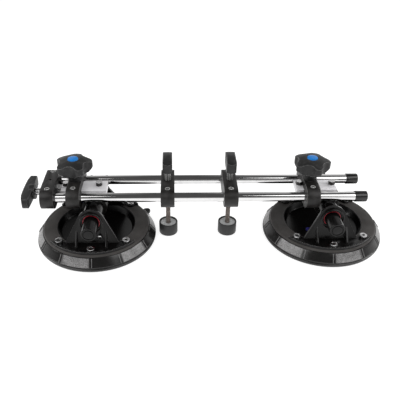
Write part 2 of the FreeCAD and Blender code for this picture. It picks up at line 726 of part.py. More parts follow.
# ---------------------------------------------------------------- saddle, about the bar's middle
def saddle(side):
    """Steel block through the bar's notch; the left one also holds the spindle's nose."""
    half, top, low = saddle_half_width, saddle_top, saddle_bottom
    tail, chamfer = saddle_tail[side], saddle_chamfer
    body = prism([V(-tail, -half, low), V(-tail, half, low), V(-tail, half, top - chamfer),
                  V(-tail, half - chamfer, top), V(-tail, chamfer - half, top),
                  V(-tail, -half, top - chamfer)], V(tail + saddle_nose[side], 0, 0))
    cutters = [pin_z(saddle_bolt_radius + seat_gap, low - cut_past, top + cut_past, x)
               for x in (nose_bolt_x, tail_bolt_x)]
    cutters.append(pin_z(star_screw_radius + fit_gap, low - cut_past, top + cut_past))
    if side == "left":
        nose_end = spindle_nose_length + nose_end_gap - tail
        body = fused([body, block((-tail, -nose_lug_half_width, low - nose_lug_drop),
                                  (nose_end + nose_lug_wall, nose_lug_half_width, top - chamfer))])
        cutters.append(pin_x(spindle_nose_radius + fit_gap, -tail - cut_past, nose_end, 0, spindle_z))
    return body.cut(cutters)


def saddle_bolts():
    """Hexagon-head bolts on washers: one into the grip's seat, one that keeps the spindle's nose in."""
    washer_top = saddle_top + saddle_washer_thickness
    grip_tip = handle_z + barrel_radius + 2 * seat_gap
    groove_tip = spindle_z + spindle_groove_radius + fit_gap
    bolts = []
    for x, tip in ((nose_bolt_x, grip_tip), (tail_bolt_x, groove_tip)):
        bolts.append(fused([pin_z(saddle_bolt_radius, tip, washer_top + cut_past, x),
                            pin_z(saddle_washer_radius, saddle_top, washer_top, x),
                            hexagon_z(saddle_bolt_flats, washer_top, washer_top + saddle_bolt_head, x)]))
    return Part.makeCompound(bolts)


def star_knob_screw():
    return pin_z(star_screw_radius, saddle_bottom - star_screw_tip, carriage_top + star_screw_head)


# ---------------------------------------------------------------- spindle, along X at y = 0
def spindle():
    """Screw spindle: threaded through the end block, its grooved nose turns in the left saddle."""
    groove_x = carriage_x["left"] + tail_bolt_x
    half = spindle_groove_width / 2
    nose_end = spindle_shoulder + spindle_nose_length
    shaft = pin_x(spindle_radius, spindle_handle_foot - spindle_in_handle, spindle_shoulder - nose_end_gap,
                  0, spindle_z)
    nose = pin_x(spindle_nose_radius, spindle_shoulder - cut_past, nose_end, 0, spindle_z)
    groove = pin_x(spindle_radius, groove_x - half, groove_x + half, 0, spindle_z)
    groove = groove.cut(pin_x(spindle_groove_radius, groove_x - spindle_groove_width,
                              groove_x + spindle_groove_width, 0, spindle_z))
    return fused([shaft, nose]).cut(groove)


def spindle_handle():
    knob = tee_knob(**spindle_handle_size)
    knob = knob.cut(pin_z(spindle_radius + seat_gap, -cut_past, spindle_in_handle + seat_gap))
    knob.rotate(V(0, 0, 0), ALONG_Y, -90)
    knob.translate(V(spindle_handle_foot, 0, spindle_z))
    return knob


# ---------------------------------------------------------------- leveling unit, about its own axis
def leveling_pad():
    """Rubber foot with a recess for the disc and a pocket for the screw's foot."""
    chamfer = pad_chamfer
    body = turned([(0, pad_lift), (pad_radius - chamfer, pad_lift), (pad_radius, pad_lift + chamfer),
                   (pad_radius, pad_top - chamfer / 2), (pad_radius - chamfer / 2, pad_top), (0, pad_top)])
    pocket = leveling_foot_radius + foot_side_gap
    return body.cut([pin_z(pad_radius - pad_rim_width, disc_bottom, pad_top + cut_past),
                     pin_z(pocket, disc_bottom - leveling_foot_height - 2 * foot_side_gap, pad_top)])


def pad_disc():
    """Steel disc glued in the pad; it keeps the screw's foot in."""
    disc = pin_z(pad_radius - pad_rim_width - seat_gap, disc_bottom, disc_top)
    return disc.cut(pin_z(leveling_screw_radius + disc_hole_gap, 0, pad_top))


def leveling_screw():
    """Screw with a foot flange below and a chromed ferrule under the knob."""
    foot_top = disc_bottom - foot_side_gap
    ferrule_top = leveling_knob_foot + ferrule_in_knob
    return fused([pin_z(leveling_foot_radius, foot_top - leveling_foot_height, foot_top),
                  pin_z(leveling_screw_radius, foot_top - cut_past, ferrule_bottom + cut_past),
                  pin_z(ferrule_radius, ferrule_bottom, ferrule_top)])


def leveling_knob():
    knob = tee_knob(**leveling_knob_size)
    knob = knob.cut(pin_z(ferrule_radius + seat_gap, -cut_past, ferrule_in_knob + seat_gap))
    return placed(knob, z=leveling_knob_foot)


# ---------------------------------------------------------------- assembly
def build():
    """All nodes by name, each in its place about the rods' mid-plane."""
    nodes = {}
    for name, y in (("rod_front", -rod_y), ("rod_rear", rod_y)):
        nodes[name] = pin_x(rod_radius, rod_left_end, rod_right_end, y, rod_z)
    cap_mouth = rod_right_end + cap_end_wall - cap_length
    nodes["rod_end_caps"] = Part.makeCompound([placed(rod_end_cap(), cap_mouth, y, rod_z)
                                               for y in (-rod_y, rod_y)])
    end_block_x = end_block_left + end_block_thickness / 2
    nodes["end_block"] = placed(end_block(), end_block_x)
    nodes["end_block_grub_screws"] = placed(grub_screws(end_block_top), end_block_x)
    nodes["spindle"] = spindle()
    nodes["spindle_handle"] = spindle_handle()

    for side in SIDES:
        bar_x = carriage_x[side]
        nodes["carriage_bar_" + side] = placed(carriage_bar(), bar_x)
        nodes["carriage_grub_screws_" + side] = placed(grub_screws(carriage_top), bar_x)
        nodes["saddle_" + side] = placed(saddle(side), bar_x)
        nodes["saddle_bolts_" + side] = placed(saddle_bolts(), bar_x)
        nodes["star_knob_screw_" + side] = placed(star_knob_screw(), bar_x)
        knob = star_knob()
        knob.rotate(V(0, 0, 0), ALONG_Z, star_turn[side])
        nodes["star_knob_" + side] = placed(knob, bar_x, 0, carriage_top)
        crown = carriage_top + star_neck_height + star_body_height + star_crown_rise
        nodes["star_knob_cap_" + side] = placed(star_cap(), bar_x, 0, crown - star_cap_depth)

        cup = {
            "vacuum_pad": vacuum_pad(tab_angle[side]),
            "cup_plate": cup_plate(),
            "intake_filter": intake_filter(),
            "bracket_front": bracket(arch_radius["front"]),
            "bracket_rear": turned_round(bracket(arch_radius["rear"])),
            "bracket_bolts": bracket_bolts(),
            "handle_clamp": handle_clamp(carriage_from_cup[side] + nose_bolt_x, -cup_shift_y[side]),
            "pump_barrel": pump_barrel(),
            "wiper_ring": wiper_ring(),
            "plunger": plunger(),
            "piston_seal": piston_seal(),
            "return_spring": return_spring(),
            "release_lever": release_lever(),
        }
        for name, shape in cup.items():
            nodes[name + "_" + side] = placed(shape, cup_x[side], cup_shift_y[side])

        unit = {
            "leveler_bar": leveler_bar(),
            "leveler_grub_screws": grub_screws(leveler_top),
            "leveling_pad": leveling_pad(),
            "pad_disc": pad_disc(),
            "leveling_screw": leveling_screw(),
            "leveling_knob": leveling_knob(),
        }
        for name, shape in unit.items():
            nodes[name + "_" + side] = placed(shape, leveler_x[side])
    return nodes


os.makedirs("parts", exist_ok=True)
for node, shape in build().items():
    placed(shape, -ORIGIN.x, -ORIGIN.y).exportStep("parts/" + node + ".step")
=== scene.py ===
import json
import math

import bmesh
import bpy
from mathutils import Matrix, Quaternion, Vector


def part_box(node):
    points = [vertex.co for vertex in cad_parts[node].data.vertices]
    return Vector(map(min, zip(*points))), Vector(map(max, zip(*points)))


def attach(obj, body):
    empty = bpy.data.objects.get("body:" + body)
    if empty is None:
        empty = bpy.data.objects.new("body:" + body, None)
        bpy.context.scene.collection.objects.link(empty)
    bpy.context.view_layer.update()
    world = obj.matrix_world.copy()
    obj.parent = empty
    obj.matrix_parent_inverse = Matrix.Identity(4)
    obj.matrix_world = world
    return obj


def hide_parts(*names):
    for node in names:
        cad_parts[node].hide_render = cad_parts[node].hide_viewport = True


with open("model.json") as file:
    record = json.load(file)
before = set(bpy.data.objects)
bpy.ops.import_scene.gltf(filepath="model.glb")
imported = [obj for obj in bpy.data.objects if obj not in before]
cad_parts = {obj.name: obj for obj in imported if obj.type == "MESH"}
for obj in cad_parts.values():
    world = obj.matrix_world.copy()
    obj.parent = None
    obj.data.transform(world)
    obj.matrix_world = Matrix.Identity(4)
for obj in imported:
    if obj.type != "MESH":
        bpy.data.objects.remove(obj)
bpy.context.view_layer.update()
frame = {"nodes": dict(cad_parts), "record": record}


# ---------------------------------------------------------------- the rods
# Two ground steel rods, chromed and chamfered at both ends.  The end block holds them at the left
# and every bar of the tool slides along them, so their finish shows faint rubbing along X.
class Field:
    """A value over a surface: one output of a shader node.  Reckoning with it adds Math nodes."""

    def __init__(self, tree, socket=None):
        self.tree, self.socket = tree, socket

    def node(self, kind, values=(), output=0, **settings):
        """Adds a node: its settings first, then its sockets by name or number."""
        made = self.tree.nodes.new("ShaderNode" + kind)
        for name, value in settings.items():
            setattr(made, name, value)
        for name, value in dict(values).items():
            if isinstance(value, Field):
                self.tree.links.new(value.socket, made.inputs[name])
            else:
                made.inputs[name].default_value = value
        return Field(self.tree, made.outputs[output]) if made.outputs else None

    def math(self, operation, *values):
        return self.node("Math", dict(enumerate(values)), operation=operation)

    def __add__(self, other):
        return self.math("ADD", self, other)

    def __radd__(self, other):
        return self.math("ADD", other, self)

    def __sub__(self, other):
        return self.math("SUBTRACT", self, other)

    def __rsub__(self, other):
        return self.math("SUBTRACT", other, self)

    def __mul__(self, other):
        return self.math("MULTIPLY", self, other)

    def __rmul__(self, other):
        return self.math("MULTIPLY", other, self)

    def within(self, low, high):
        """0 below low, 1 above high, and straight between them."""
        return self.node("MapRange", {0: self, 1: low, 2: high}, clamp=True)

    def tint(self, dark, pale):
        """A colour that goes from dark to pale as this value goes from 0 to 1."""
        return self.node("Mix", {0: self, 6: (*dark, 1), 7: (*pale, 1)}, output=2, data_type="RGBA")

    def grain(self, size, detail=2.0, stretch=(1, 1, 1)):
        """Noise between 0 and 1 whose patches are about `size` metres across."""
        place = self.node("TexCoord", output="Object")
        place = self.node("VectorMath", {0: place, 1: stretch}, operation="MULTIPLY")
        return self.node("TexNoise", {"Vector": place, "Scale": 1 / size, "Detail": detail}, output="Fac")

    def edges(self, width):
        """1 along edges and 0 away from them; width is in metres."""
        flat = self.node("NewGeometry", output="Normal")
        rounded = self.node("Bevel", {"Radius": width}, samples=6)
        along = self.node("VectorMath", {0: flat, 1: rounded}, output="Value", operation="DOT_PRODUCT")
        return (1.0 - along).within(0.01, 0.12)

    def bumps(self, depth, strength):
        """A normal from this height; depth is in metres."""
        return self.node("Bump", {"Height": self, "Distance": depth, "Strength": strength})


def material(name, recipe):
    """A material whose recipe gives the shader's sockets from a field on its node tree."""
    made = bpy.data.materials.new(name)
    made.use_nodes = True
    made.node_tree.nodes.clear()
    field = Field(made.node_tree)
    shader = field.node("BsdfPrincipled", recipe(field))
    field.node("OutputMaterial", {"Surface": shader})
    return made


def paint(piece, *materials):
    """Gives a piece its materials; each face keeps the number that it has."""
    faces = piece.data.polygons
    numbers = [0] * len(faces)
    faces.foreach_get("material_index", numbers)
    piece.data.materials.clear()
    for one in materials:
        piece.data.materials.append(one)
    faces.foreach_set("material_index", numbers)


MM = 0.001
along_x, upright = (1, 0, 0), (0, 0, 1)


def piece_of(name, shape, place=Matrix.Identity(4), crease=35):
    """Makes a piece of a bmesh, smooth except along edges sharper than the crease."""
    bmesh.ops.recalc_face_normals(shape, faces=shape.faces)
    mesh = bpy.data.meshes.new(name)
    shape.to_mesh(mesh)
    shape.free()
    mesh.transform(place)
    mesh.shade_smooth()
    mesh.set_sharp_from_angle(angle=math.radians(crease))
    piece = bpy.data.objects.new(name, mesh)
    bpy.context.scene.collection.objects.link(piece)
    return piece


def standing(foot, axis):
    """The place of a piece that is made upright on the origin and stands on `foot` along `axis`."""
    lean = Vector(upright).rotation_difference(Vector(axis))
    return Matrix.Translation(foot) @ lean.to_matrix().to_4x4()


def round_axis(radius, turn, along):
    """A point round the Z axis in metres, from millimetres and a turn in radians."""
    return radius * MM * math.cos(turn), radius * MM * math.sin(turn), along * MM


def lathe(name, outline, foot, axis=upright, steps=96, crease=35):
    """Piece turned about an axis through `foot` from (radius, distance) points in millimetres."""
    shape = bmesh.new()
    rings = []
    for radius, along in outline:
        turns = [2 * math.pi * step / steps for step in range(steps)] if radius else [0]
        rings.append([shape.verts.new(round_axis(radius, turn, along)) for turn in turns])
    for low, high in zip(rings, rings[1:]):
        for step in range(steps):
            corners = [low[step % len(low)], low[(step + 1) % len(low)],
                       high[(step + 1) % len(high)], high[step % len(high)]]
            corners = [corner for number, corner in enumerate(corners) if corner not in corners[:number]]
            if len(corners) > 2:
                shape.faces.new(corners)
    return piece_of(name, shape, standing(foot, axis), crease)


def stands_for(piece, node, slot, *materials):
    """The piece takes a node's place in the node's body, and the node is hidden; `slot` is not used."""
    if materials:
        paint(piece, *materials)
    body = next(name for name, nodes in frame["record"]["behaviour"]["bodies"].items() if node in nodes)
    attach(piece, body)
    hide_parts(node)


def centre(node):
    low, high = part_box(node)
    return (low + high) / 2


def chrome_recipe(field):
    rubs = field.grain(0.0006, 3, stretch=(0.05, 1, 1))
    haze = field.grain(0.02, 3).within(0.45, 0.75)
    return {"Base Color": haze.tint((0.74, 0.735, 0.735), (0.64, 0.635, 0.64)), "Metallic": 1.0,
            "Roughness": 0.03 + 0.05 * haze + 0.03 * rubs, "Normal": rubs.bumps(0.000002, 0.3)}


chrome = material("chrome_plate", chrome_recipe)
rods, chamfer = ("rod_front", "rod_rear"), 0.8
for node in rods:
    low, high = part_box(node)
    radius, length = (high.z - low.z) / 2 / MM, (high.x - low.x) / MM
    outline = [(0, 0), (radius - chamfer, 0), (radius, chamfer), (radius, length - chamfer),
               (radius - chamfer, length), (0, length)]
    rod = lathe(node + "_chromed", outline, (low.x, centre(node).y, centre(node).z), along_x)
    stands_for(rod, node, "chrome", chrome)


# ---------------------------------------------------------------- the rods' end caps
# Two push-on caps of glossy black vinyl.  Each is dipped, so its edges are soft and its end is
# slightly domed.
def gloss_vinyl_recipe(field):
    waves = field.grain(0.004, 2)
    return {"Base Color": waves.tint((0.003, 0.003, 0.003), (0.008, 0.008, 0.008)),
            "Roughness": 0.13 + 0.10 * field.grain(0.0012, 3), "Normal": waves.bumps(0.0002, 0.35)}


def joined(pieces, name):
    """One piece of several, whose faces keep their materials."""
    shape = bmesh.new()
    finishes = []
    for piece in pieces:
        mesh = piece.data
        for face in mesh.polygons:
            used = mesh.materials[face.material_index] if mesh.materials else None
            if used not in finishes:
                finishes.append(used)
            face.material_index = finishes.index(used)
        shape.from_mesh(mesh)
        bpy.data.objects.remove(piece)
        bpy.data.meshes.remove(mesh)
    whole = piece_of(name, shape)
    paint(whole, *finishes)
    return whole


gloss_vinyl = material("gloss_vinyl", gloss_vinyl_recipe)
low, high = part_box("rod_end_caps")
bore, radius, length = 8.1, 9.2, (high.x - low.x) / MM
outline = [(bore, 0), (radius - 0.3, 0), (radius, 0.4), (radius, length - 2.4),
           (radius - 0.5, length - 1.0), (radius - 1.8, length - 0.2), (radius - 3.6, length), (0, length)]
caps = [lathe("cap_on_" + rod, outline, (low.x, centre(rod).y, centre(rod).z), along_x) for rod in rods]
stands_for(joined(caps, "rod_caps_vinyl"), "rod_end_caps", "black_plastic", gloss_vinyl)


# ---------------------------------------------------------------- the end block
# A milled black-coated block across the rods' left ends, tapped for the spindle.  Its corners are
# broken and rubbed, and every edge is painted paler, partly for that wear and partly as a painted
# highlight; the powder coat has a fine orange-peel texture.
def rounded_over(shape, edges, size, steps, finish=0):
    """Rounds edges of a bmesh by `size` millimetres; the roundings get the finish of that number."""
    bmesh.ops.bevel(shape, geom=edges, offset=size * MM, offset_type="OFFSET", segments=steps,
                    affect="EDGES", profile=0.5, clamp_overlap=True, material=finish)


def softened(node, edge, steps=3, crease=30, finish=0):
    """A piece with the form of a node's solid and its sharp edges rounded over."""
    shape = bmesh.new()
    shape.from_mesh(frame["nodes"][node].data)
    bmesh.ops.remove_doubles(shape, verts=shape.verts, dist=0.000002)
    bmesh.ops.dissolve_limit(shape, angle_limit=math.radians(0.6), verts=shape.verts, edges=shape.edges)
    sharp = [line for line in shape.edges
             if len(line.link_faces) == 2 and line.calc_face_angle(0) > math.radians(crease)]
    rounded_over(shape, sharp, edge, steps, finish)
    return piece_of(node + "_finished", shape, crease=crease)


def dressed(node, edge, slot, finish, steps=3):
    """A softened piece of one finish in a node's place."""
    stands_for(softened(node, edge, steps), node, slot, finish)


def powder_coat_recipe(field):
    peel = field.grain(0.0009, 2)
    dust = field.grain(0.012, 4).within(0.35, 0.75)
    # Every edge is painted paler: partly rubbed wear, partly a painted highlight.
    rubbed_and_lit = field.edges(0.0009)
    worn_and_lit = 0.25 * dust + 0.75 * rubbed_and_lit
    return {"Base Color": worn_and_lit.tint((0.0055, 0.0048, 0.0045), (0.090, 0.085, 0.082)),
            "Roughness": 0.36 + 0.10 * dust + 0.06 * peel - 0.14 * rubbed_and_lit, "Specular IOR Level": 0.36,
            "Normal": peel.bumps(0.00004, 0.5)}


powder_coat = material("powder_coat", powder_coat_recipe)
dressed("end_block", 0.9, "black_metal", powder_coat)


# ---------------------------------------------------------------- the grub screws over the rods
# Hexagon-socket grub screws, one over each rod in every bar, zinc plated.  Each sits in a tapped
# hole with a thin raised ring round its mouth, painted pale as a highlight.
def zinc_recipe(field):
    spots = field.grain(0.0016, 4).within(0.4, 0.7)
    return {"Base Color": spots.tint((0.78, 0.78, 0.79), (0.50, 0.49, 0.48)), "Metallic": 1.0,
            "Roughness": 0.14 + 0.16 * spots, "Normal": spots.bumps(0.00003, 0.4)}


# Pale grey as a painted highlight: on the rings round the grub-screw holes and the ferrules' lands.
def pale_highlight_recipe(field):
    return {"Base Color": field.grain(0.001, 3).tint((0.22, 0.22, 0.215), (0.62, 0.62, 0.61)),
            "Metallic": 0.2, "Roughness": 0.30}


zinc = material("bright_zinc", zinc_recipe)
pale_highlight = material("pale_highlight", pale_highlight_recipe)
sides = ("left", "right")
mouth_outline = [(3.30, -0.6), (3.30, 0), (3.5, 0.15), (4.15, 0.12), (4.3, -0.1)]
bars = [("end_block_grub_screws", "end_block")]
bars += [(kind + "_grub_screws_" + side, kind + "_bar_" + side)
         for kind in ("carriage", "leveler") for side in sides]
for node, bar in bars:
    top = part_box(bar)[1].z
    screws = softened(node, 0.25, 2)
    paint(screws, zinc)
    mouths = [lathe("mouth", mouth_outline, (centre(bar).x, centre(rod).y, top), steps=32, crease=60)
              for rod in rods]
    for mouth in mouths:
        paint(mouth, pale_highlight)
    stands_for(joined([screws] + mouths, node + "_finished_with_rings"), node, "bolt_steel")


# ---------------------------------------------------------------- the spindle and its handle
# A steel screw with a rolled thread through the end block, and the moulded T handle pressed on its
# outer end.  The handle is glass-filled nylon with a fine spark texture.
def threaded(name, foot, axis, start, stop, crest, pitch, depth, steps=28):
    """The thread of a screw between two distances from its foot, in millimetres."""
    shape = bmesh.new()
    root, shoulder = crest - depth, crest - 0.1
    flank = [(0, root), (0.22, shoulder), (0.34, crest), (0.5, crest), (0.62, shoulder),
             (0.84, root), (1, root)]
    rows = []
    for step in range(int((stop - start) / pitch - 1) * steps + 1):
        turn = 2 * math.pi * step / steps
        rows.append([shape.verts.new(round_axis(radius, turn, start + pitch * (step / steps + along)))
                     for along, radius in flank])
    for before, after in zip(rows, rows[1:]):
        for number in range(len(flank) - 1):
            shape.faces.new([before[number], after[number], after[number + 1], before[number + 1]])
    return piece_of(name, shape, standing(foot, axis), crease=50)


def moulded_recipe(field):
    spark = field.grain(0.00035, 2)
    patches = field.grain(0.010, 5).within(0.5, 0.8)
    # Every edge is painted paler: partly rubbed wear, partly a painted highlight.
    rubbed_and_lit = field.edges(0.0011)
    worn_and_lit = 0.15 * patches + 0.85 * rubbed_and_lit
    return {"Base Color": worn_and_lit.tint((0.0075, 0.0075, 0.0077), (0.150, 0.148, 0.150)),
            "Roughness": 0.42 + 0.12 * spark - 0.08 * patches - 0.20 * rubbed_and_lit, "Specular IOR Level": 0.40,
            "Normal": spark.bumps(0.00006, 0.55)}


moulded = material("moulded_nylon", moulded_recipe)
low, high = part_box("spindle")
foot, length = (low.x, centre("spindle").y, centre("spindle").z), (high.x - low.x) / MM
radius, pitch, depth, thread_start = (high.z - low.z) / 2 / MM, 1.5, 0.7, 9
nose_length, nose_radius, neck_radius, neck_start, neck_end = 15.8, 4, 2.8, 4, 11
shoulder = length - nose_length
core = lathe("core", [(0, 0), (radius - depth, 0), (radius - depth, shoulder), (nose_radius, shoulder),
                      (nose_radius, shoulder + neck_start), (neck_radius, shoulder + neck_start),
                      (neck_radius, shoulder + neck_end), (nose_radius, shoulder + neck_end),
                      (nose_radius, length - 0.6), (nose_radius - 0.6, length), (0, length)],
             foot, along_x, steps=48)
thread = threaded("thread", foot, along_x, thread_start, shoulder, radius, pitch, depth)
stands_for(joined([core, thread], "spindle_threaded"), "spindle", "chrome", zinc)
dressed("spindle_handle", 1.8, "black_plastic", moulded, steps=4)


# ---------------------------------------------------------------- the carriage bars
# Two thicker bars that slide on the rods, one over each cup, of the same coated metal as the end
# block.
for side in sides:
    dressed("carriage_bar_" + side, 0.9, "black_metal", powder_coat)


# ---------------------------------------------------------------- the saddles and their bolts
# A bead-blasted aluminium bar through the notch under each carriage bar, with two hexagon bolts on
# washers.  The bolts are bright zinc on top, and the sides of their heads are painted dark as shade.
def blasted_recipe(field):
    pits = field.grain(0.00025, 2)
    cast = field.grain(0.015, 3)
    # The edges are painted paler as a highlight, over the cast's random tone.
    pale = 0.6 * cast + 0.4 * field.edges(0.0008)
    return {"Base Color": pale.tint((0.74, 0.73, 0.75), (0.92, 0.91, 0.92)), "Metallic": 0.05,
            "Roughness": 0.34 + 0.10 * pits, "Normal": pits.bumps(0.00004, 0.5)}


# A dark colour put where there is only shade: the sides of bolt heads, the gap round the blue disc.
def painted_shade_recipe(field):
    return {"Base Color": field.grain(0.002, 3).tint((0.010, 0.009, 0.009), (0.045, 0.042, 0.040)),
            "Metallic": 0.4, "Roughness": 0.22}


def by_place(piece, *materials, choose):
    """Gives each face the material whose number `choose` returns for its centre, in millimetres."""
    for face in piece.data.polygons:
        face.material_index = choose(face.center / MM)
    paint(piece, *materials)


painted_shade = material("painted_dark_shade", painted_shade_recipe)
blasted = material("blasted_aluminium", blasted_recipe)
side_foot, side_top = 6, 0.4
for side in sides:
    dressed("saddle_" + side, 0.5, "saddle_metal", blasted)
    node = "saddle_bolts_" + side
    bolts, bolt_top = softened(node, 0.35, 2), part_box(node)[1].z / MM
    # The sides of the heads, just below their tops, get the painted shade.
    by_place(bolts, zinc, painted_shade, choose=lambda at: int(side_top < bolt_top - at.z < side_foot))
    stands_for(bolts, node, "bolt_steel")


# ---------------------------------------------------------------- the star knobs
# A five-lobed moulded knob on a round neck clamps each carriage; its rounded edges are painted pale
# as a highlight.  A glossy blue disc snaps into a recess of its crown, over the screw's head, and the
# gap round it is painted dark as shade.
def blue_recipe(field):
    return {"Base Color": field.grain(0.003, 2).tint((0.003, 0.145, 0.470), (0.006, 0.185, 0.560)),
            "Roughness": 0.24 + 0.06 * field.grain(0.001, 2), "Specular IOR Level": 0.35}


# A pale colour on the knobs' rounded edges, in patches: a painted highlight.
def edge_highlight_recipe(field):
    rub = field.grain(0.004, 3).within(0.35, 0.65)
    return {"Base Color": rub.tint((0.050, 0.049, 0.049), (0.300, 0.296, 0.294)),
            "Roughness": 0.20 + 0.10 * rub}


edge_highlight = material("edge_highlight", edge_highlight_recipe)
blue = material("blue_cap", blue_recipe)
cap_gap, knob_crease, fine_pitch = 0.9, 24, 1.25
for side in sides:
    node = "star_knob_cap_" + side
    low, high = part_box(node)
    middle, radius, rise = centre(node), (high.x - low.x) / 2 / MM, (high.z - low.z) / MM
    # The roundings of the knob's edges get the painted highlight.
    knob = softened("star_knob_" + side, 1.0, crease=knob_crease, finish=1)
    # Faces round and under the blue disc get the painted shade of the gap round it.
    for face in knob.data.polygons:
        if (face.center.xy - middle.xy).length < (radius + cap_gap) * MM and face.center.z > low.z - MM:
            face.material_index = 2
    stands_for(knob, "star_knob_" + side, "black_plastic", moulded, edge_highlight, painted_shade)
    wall = radius - cap_gap
    outline = [(0, 0), (wall, 0), (wall, rise - 1.5), (wall - 0.3, rise - 1.0), (wall - 1.1, rise - 0.7),
               (radius * 0.6, rise - 0.2), (radius * 0.3, rise - 0.03), (0, rise)]
    cap = lathe("cap_" + side, outline, (middle.x, middle.y, low.z), steps=64)
    stands_for(cap, node, "blue_plastic", blue)
    node = "star_knob_screw_" + side
    low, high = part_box(node)
    foot, length = (centre(node).x, centre(node).y, low.z), (high.z - low.z) / MM
    radius, depth = (high.x - low.x) / 2 / MM, 0.6
    outline = [(0, 0), (radius - 0.9, 0), (radius - depth, 0.6), (radius - depth, length), (0, length)]
    screw = joined([lathe("core", outline, foot, steps=32),
                    threaded("thread", foot, upright, 0.6, length, radius, fine_pitch, depth)],
                   "star_screw_" + side)
    stands_for(screw, node, "bolt_steel", zinc)


# ---------------------------------------------------------------- the handle tubes and their clamps
# The handle tube of each cup is the pump's barrel, a glossy moulding.  A coated ring under the
# saddle grips it.
def gloss_moulding_recipe(field):
    flow = field.grain(0.012, 3)
    # Every edge is painted paler: partly rubbed wear, partly a painted highlight.
    rubbed_and_lit = 0.1 * flow + 0.9 * field.edges(0.0008)
    return {"Base Color": rubbed_and_lit.tint((0.0018, 0.0016, 0.0016), (0.034, 0.033, 0.033)),
            "Roughness": 0.15 + 0.12 * field.grain(0.0009, 3), "Specular IOR Level": 0.24,
            "Normal": flow.bumps(0.0004, 0.25)}


gloss_moulding = material("gloss_moulding", gloss_moulding_recipe)
for side in sides:
    dressed("handle_clamp_" + side, 0.8, "black_metal", powder_coat)
    dressed("pump_barrel_" + side, 0.8, "black_metal", gloss_moulding)


# ---------------------------------------------------------------- the cup plates
# The moulded plate that backs each rubber pad: a flat satin ring round a glossy bowl under the
# handle.  The ring's rim and the bowl's mouth are rounded, and the drum below fills the pad.
def satin_recipe(field):
    fine = field.grain(0.0004, 2)
    hands = field.grain(0.03, 4).within(0.35, 0.75)
    return {"Base Color": hands.tint((0.042, 0.0390, 0.0370), (0.064, 0.0600, 0.0575)),
            "Roughness": 0.50 + 0.10 * fine - 0.06 * hands, "Specular IOR Level": 0.16,
            "Normal": fine.bumps(0.00003, 0.4)}


satin = material("satin_ring", satin_recipe)
drum_low, bowl_mouth = 12, 68.2
drum = [(0, drum_low), (85.4, drum_low), (86, 12.6), (86, 23)]
ring = [(92.4, 23), (92.7, 23.4), (92.5, 24.2), (91.6, 26.0), (91.0, 26.7), (90.2, 27), (69.2, 27),
        (68.4, 26.7)]
bowl = [(67.4, 26.7), (66.8, 26.2), (66.3, 25.2), (62.6, 16.2), (61.8, 15.3), (60.6, 15), (0, 15)]
for side in sides:
    node = "cup_plate_" + side
    middle = centre(node)
    plate = lathe("plate_" + side, drum + ring + bowl, (middle.x, middle.y, 0), steps=192, crease=30)
    by_place(plate, satin, gloss_moulding,
             choose=lambda at: int((at.xy - middle.xy / MM).length < bowl_mouth and at.z > drum_low + 1))
    stands_for(plate, node, "black_plastic")


# ---------------------------------------------------------------- the vacuum pads
# Glossy moulded rubber: a sealing lip, a sloping skirt whose panels are by turns smooth and mottled,
# with a pair of ribs between them, and a lifting tab.
def smooth_rubber_recipe(field):
    waves, fine = field.grain(0.014, 2), field.grain(0.0020, 3)
    return {"Base Color": waves.tint((0.0060, 0.0058, 0.0057), (0.0140, 0.0134, 0.0130)),
            "Roughness": 0.13 + 0.14 * fine, "Specular IOR Level": 0.42,
            "Normal": fine.bumps(0.00010, 0.4)}


def mottled_rubber_recipe(field):
    mottle = field.grain(0.0013, 4).within(0.32, 0.68)
    pale = 0.65 * mottle + 0.35 * field.grain(0.016, 3).within(0.3, 0.7)
    return {"Base Color": pale.tint((0.040, 0.039, 0.038), (0.330, 0.325, 0.325)),
            "Roughness": 0.20 + 0.25 * mottle, "Normal": mottle.bumps(0.00012, 0.7)}


def rubbed_rubber_recipe(field):
    fine = field.grain(0.0020, 3)
    return {"Base Color": fine.tint((0.060, 0.058, 0.058), (0.150, 0.147, 0.147)),
            "Roughness": 0.22 + 0.14 * fine}


def bevelled_box(name, low, high, place, edge, top):
    """Box with rounded edges between two corners in millimetres; its top is narrower in Y."""
    shape = bmesh.new()
    bmesh.ops.create_cube(shape, size=1)
    for corner in shape.verts:
        narrow = top if corner.co.z > 0 else 1.0
        corner.co = Vector(((low[0] + high[0]) / 2 + corner.co.x * (high[0] - low[0]),
                            (low[1] + high[1]) / 2 + corner.co.y * (high[1] - low[1]) * narrow,
                            (low[2] + high[2]) / 2 + corner.co.z * (high[2] - low[2]))) * MM
    rounded_over(shape, shape.edges[:], edge, 2)
    return piece_of(name, shape, place)


def lifting_tab(place):
    """A tongue with a round end, whose upper and lower edges are rounded over."""
    root, straight, half, thick = -4, 4.1, 6.5, 5
    turns = [math.pi * step / 16 for step in range(1, 16)]
    outline = [(root, -half), (straight, -half)]
    outline += [(straight + half * math.sin(turn), -half * math.cos(turn)) for turn in turns]
    outline += [(straight, half), (root, half)]
    shape = bmesh.new()
    lower = [shape.verts.new((x * MM, y * MM, 0)) for x, y in outline]
    upper = [shape.verts.new((x * MM, y * MM, thick * MM)) for x, y in outline]
    shape.faces.new(lower)
    shape.faces.new(upper)
    for number in range(len(outline)):
        following = (number + 1) % len(outline)
        shape.faces.new([lower[number], lower[following], upper[following], upper[number]])
    rims = [line for line in shape.edges if abs(line.verts[0].co.z - line.verts[1].co.z) < 1e-6]
    rounded_over(shape, rims, 0.9, 3)
    return piece_of("tab", shape, place)


